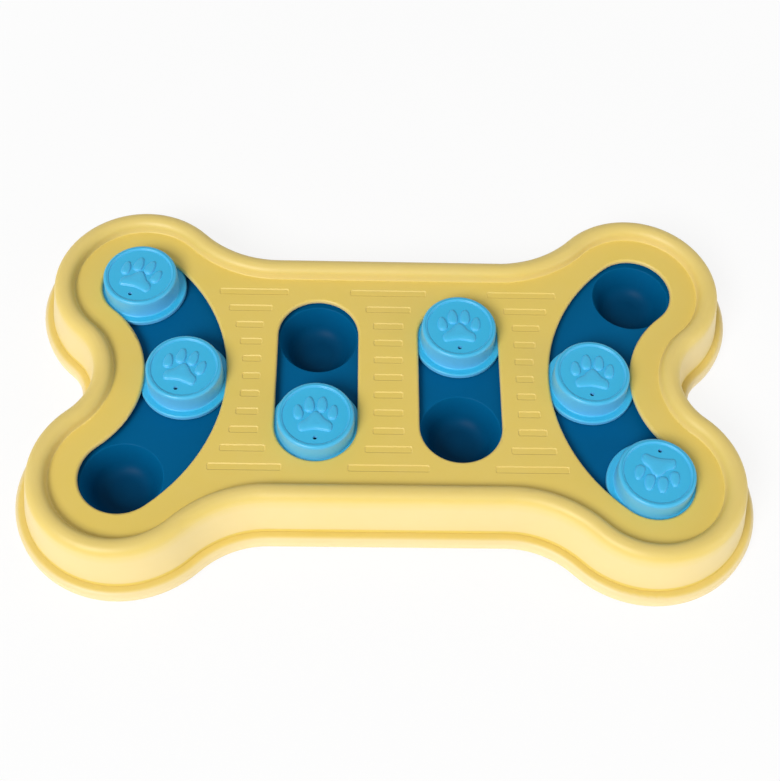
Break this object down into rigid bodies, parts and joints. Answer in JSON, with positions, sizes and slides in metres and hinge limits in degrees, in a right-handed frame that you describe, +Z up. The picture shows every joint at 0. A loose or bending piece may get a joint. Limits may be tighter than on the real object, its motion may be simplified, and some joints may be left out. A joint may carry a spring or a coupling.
{
  "type": "pet puzzle toy",
  "caption": "Bone-shaped slide puzzle feeder for a pet: a shallow tray whose round paw-print sliders run along straight and curved slots over food wells",
  "frame": {"origin": "on the floor, under the middle of the bone", "axes": "X along the bone, Y from its front edge to its back edge, Z up"},
  "size_m": [0.3826, 0.231, 0.0402],
  "materials": {
    "shell": "satin yellow moulded plastic",
    "track": "satin dark blue moulded plastic",
    "slider": "satin light blue moulded plastic",
    "feet": "soft dark grey rubber",
    "screws": "bright zinc-plated steel"
  },
  "bodies": {
    "tray": {"top_shell": "shell", "base_cover": "shell", "track_left_curved": "track", "track_left_straight": "track", "track_right_straight": "track", "track_right_curved": "track", "foot_front_left": "feet", "foot_front_middle": "feet", "foot_front_right": "feet", "foot_back_left": "feet", "foot_back_middle": "feet", "foot_back_right": "feet", "case_screws": "screws"},
    "left_back": {"slider_left_back": "slider"},
    "left_middle": {"slider_left_middle": "slider"},
    "inner_left": {"slider_inner_left": "slider"},
    "inner_right": {"slider_inner_right": "slider"},
    "right_middle": {"slider_right_middle": "slider"},
    "right_front": {"slider_right_front": "slider"}
  },
  "joints": [
    {"name": "left_back_travel", "type": "hinge", "parent": "tray", "child": "left_back", "pos_m": [-0.183, 0, 0], "axis": [0, 0, -1], "range_deg": [0, 50.75]},
    {"name": "left_middle_travel", "type": "hinge", "parent": "left_back", "child": "left_middle", "pos_m": [-0.183, 0, 0], "axis": [0, 0, 1], "range_deg": [-50.75, 0]},
    {"name": "inner_left_travel", "type": "slide", "parent": "tray", "child": "inner_left", "axis": [0, 1, 0], "range_m": [0, 0.056]},
    {"name": "inner_right_travel", "type": "slide", "parent": "tray", "child": "inner_right", "axis": [0, -1, 0], "range_m": [0, 0.056]},
    {"name": "right_front_travel", "type": "hinge", "parent": "tray", "child": "right_front", "pos_m": [0.183, 0, 0], "axis": [0, 0, -1], "range_deg": [0, 50.75]},
    {"name": "right_middle_travel", "type": "hinge", "parent": "right_front", "child": "right_middle", "pos_m": [0.183, 0, 0], "axis": [0, 0, 1], "range_deg": [-50.75, 0]}
  ]
}
